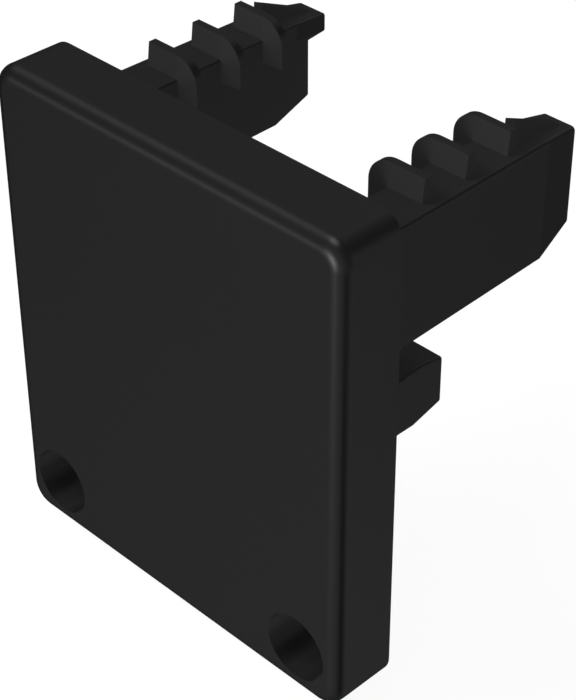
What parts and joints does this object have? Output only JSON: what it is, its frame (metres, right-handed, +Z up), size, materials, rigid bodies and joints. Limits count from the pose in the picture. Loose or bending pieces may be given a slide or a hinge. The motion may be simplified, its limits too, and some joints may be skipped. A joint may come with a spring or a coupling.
{
  "type": "profile end cap",
  "caption": "Moulded plastic cap that closes the cut end of a mounting rail: a rounded plate with corner screw holes, finned push-in arms and locating pegs.",
  "frame": {"origin": "middle of the seat, the flat back face of the plate that stops against the rail's cut end", "axes": "+Z up along the plate's height, +X across the plate's width, +Y into the rail, the way the cap is pushed in"},
  "size_m": [0.04, 0.0316, 0.0466],
  "materials": {
    "black_plastic": "satin"
  },
  "bodies": {
    "root": {"end_cap": "black_plastic"}
  },
  "joints": []
}
